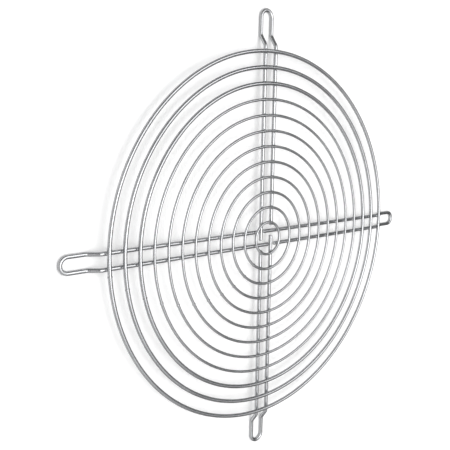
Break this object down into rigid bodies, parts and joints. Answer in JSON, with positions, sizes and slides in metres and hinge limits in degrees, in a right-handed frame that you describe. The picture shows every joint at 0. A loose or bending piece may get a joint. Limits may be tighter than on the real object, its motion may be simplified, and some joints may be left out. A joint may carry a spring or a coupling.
{
  "type": "wire fan guard",
  "caption": "Flat round wire guard for a fan: concentric rings welded across hairpin arms that end in set-back mounting loops.",
  "frame": {"origin": "on the fan's axis, in the plane that the backs of the four mounting loops bear on", "axes": "+Z along the fan's axis to the front, the side that the rings are on; seen from the front, +X runs to the right arm and +Y to the top arm"},
  "size_m": [0.3696, 0.3696, 0.0117],
  "materials": {
    "plated_wire": "bright nickel and chrome plate on drawn steel wire"
  },
  "bodies": {
    "root": {"ring_01": "plated_wire", "ring_02": "plated_wire", "ring_03": "plated_wire", "ring_04": "plated_wire", "ring_05": "plated_wire", "ring_06": "plated_wire", "ring_07": "plated_wire", "ring_08": "plated_wire", "ring_09": "plated_wire", "ring_10": "plated_wire", "ring_11": "plated_wire", "ring_12": "plated_wire", "arm_right": "plated_wire", "arm_top": "plated_wire", "arm_left": "plated_wire", "arm_bottom": "plated_wire"}
  },
  "joints": []
}
